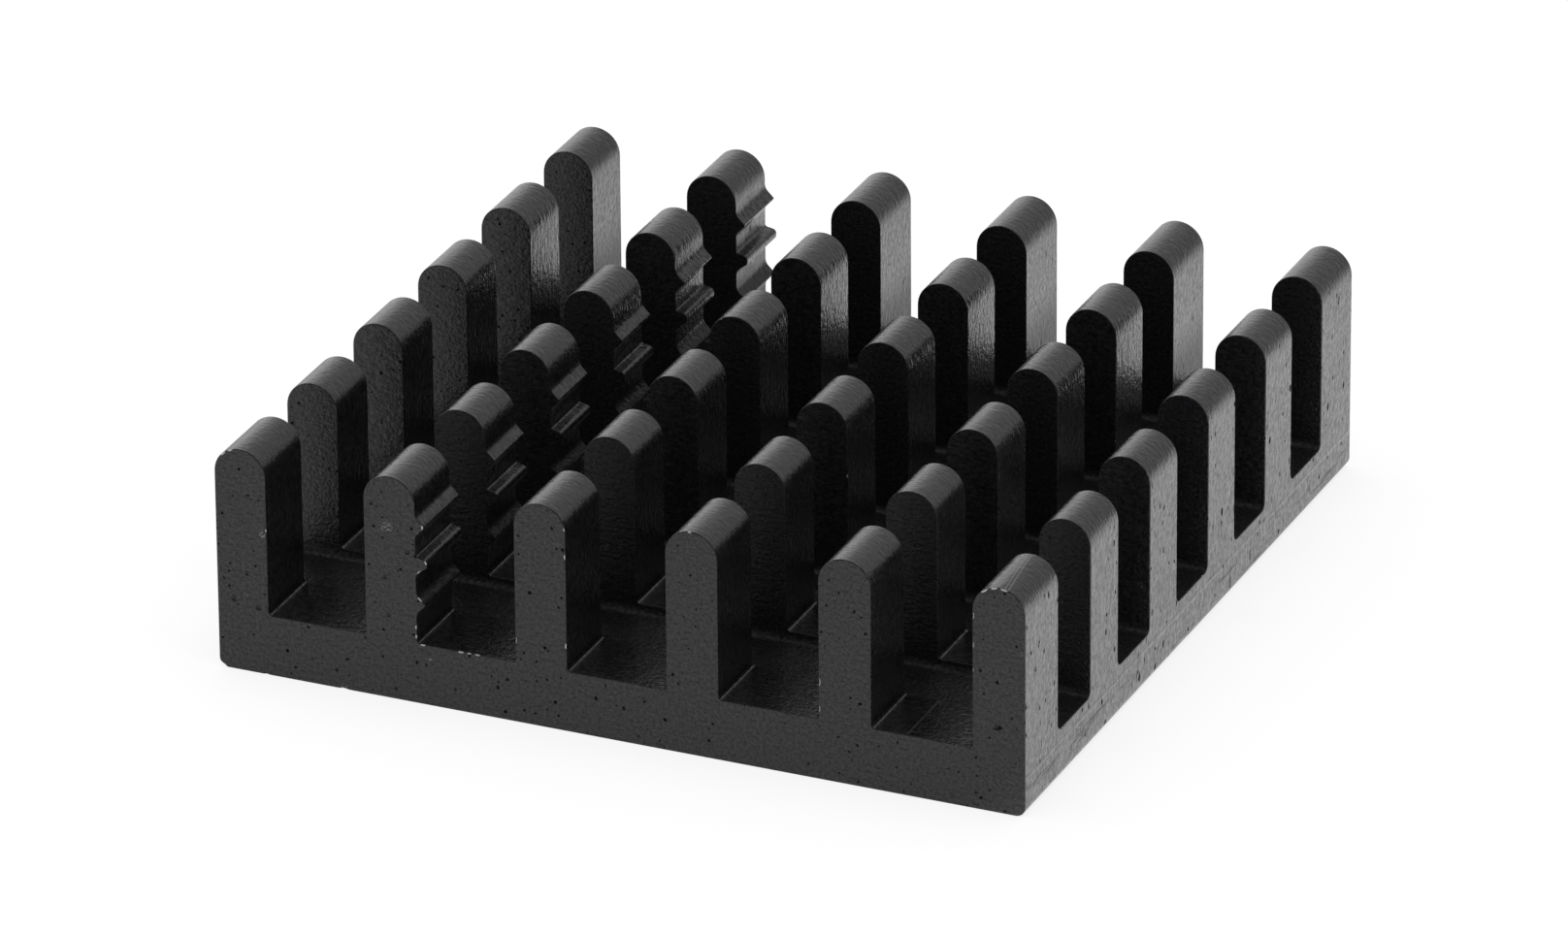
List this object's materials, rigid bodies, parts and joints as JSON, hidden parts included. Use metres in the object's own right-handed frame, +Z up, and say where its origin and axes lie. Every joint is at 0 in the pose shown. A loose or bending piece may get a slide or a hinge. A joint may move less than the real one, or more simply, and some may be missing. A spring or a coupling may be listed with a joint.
{
  "type": "heat sink",
  "caption": "Square pin-fin heat sink: a flat base under a grid of upright pins with rounded tops, one row ridged along its side, for cooling a chip it is stuck onto.",
  "frame": {"origin": "centre of the flat underside of the base", "axes": "+X across the fins, +Y along the extrusion from the front row of pins to the back row, +Z up from the underside to the pin tops"},
  "size_m": [0.025, 0.025, 0.007],
  "materials": {
    "black_anodised": "satin black anodised, sawn across the fins"
  },
  "bodies": {
    "root": {"heat_sink": "black_anodised"}
  },
  "joints": []
}
